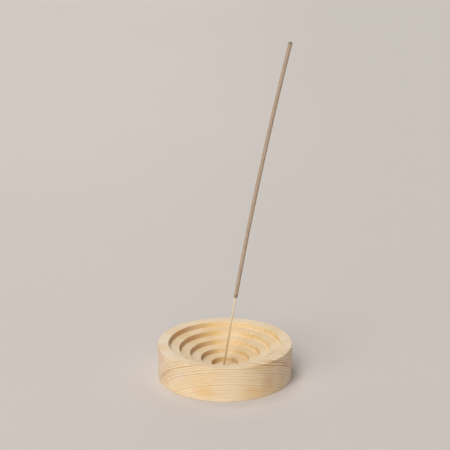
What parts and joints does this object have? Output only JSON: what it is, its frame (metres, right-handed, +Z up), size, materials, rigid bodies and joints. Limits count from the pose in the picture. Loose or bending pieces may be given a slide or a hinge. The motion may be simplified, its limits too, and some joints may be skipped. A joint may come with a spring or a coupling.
{
  "type": "incense burner",
  "caption": "Round turned pine incense burner: a low dish with a stepped ash hollow and a slanted socket that holds a leaning, slightly bowed incense stick.",
  "frame": {"origin": "centre of the dish's flat foot, on the surface it stands on", "axes": "+Z up, +X the way the stick leans and bows, and the front of the dish faces -Y"},
  "size_m": [0.1, 0.1, 0.2542],
  "materials": {
    "pine": "sanded bare pine, growth rings running through the block",
    "bamboo": "split and rolled bamboo, bare",
    "incense": "dry rolled wood-powder paste, matt and grainy"
  },
  "bodies": {
    "dish": {"dish": "pine"},
    "incense_stick": {"stick_core": "bamboo", "incense_paste": "incense"}
  },
  "joints": [
    {"name": "stick_lift", "type": "slide", "parent": "dish", "child": "incense_stick", "axis": [0.1478, 0, 0.989], "range_m": [0, 0.04]}
  ]
}
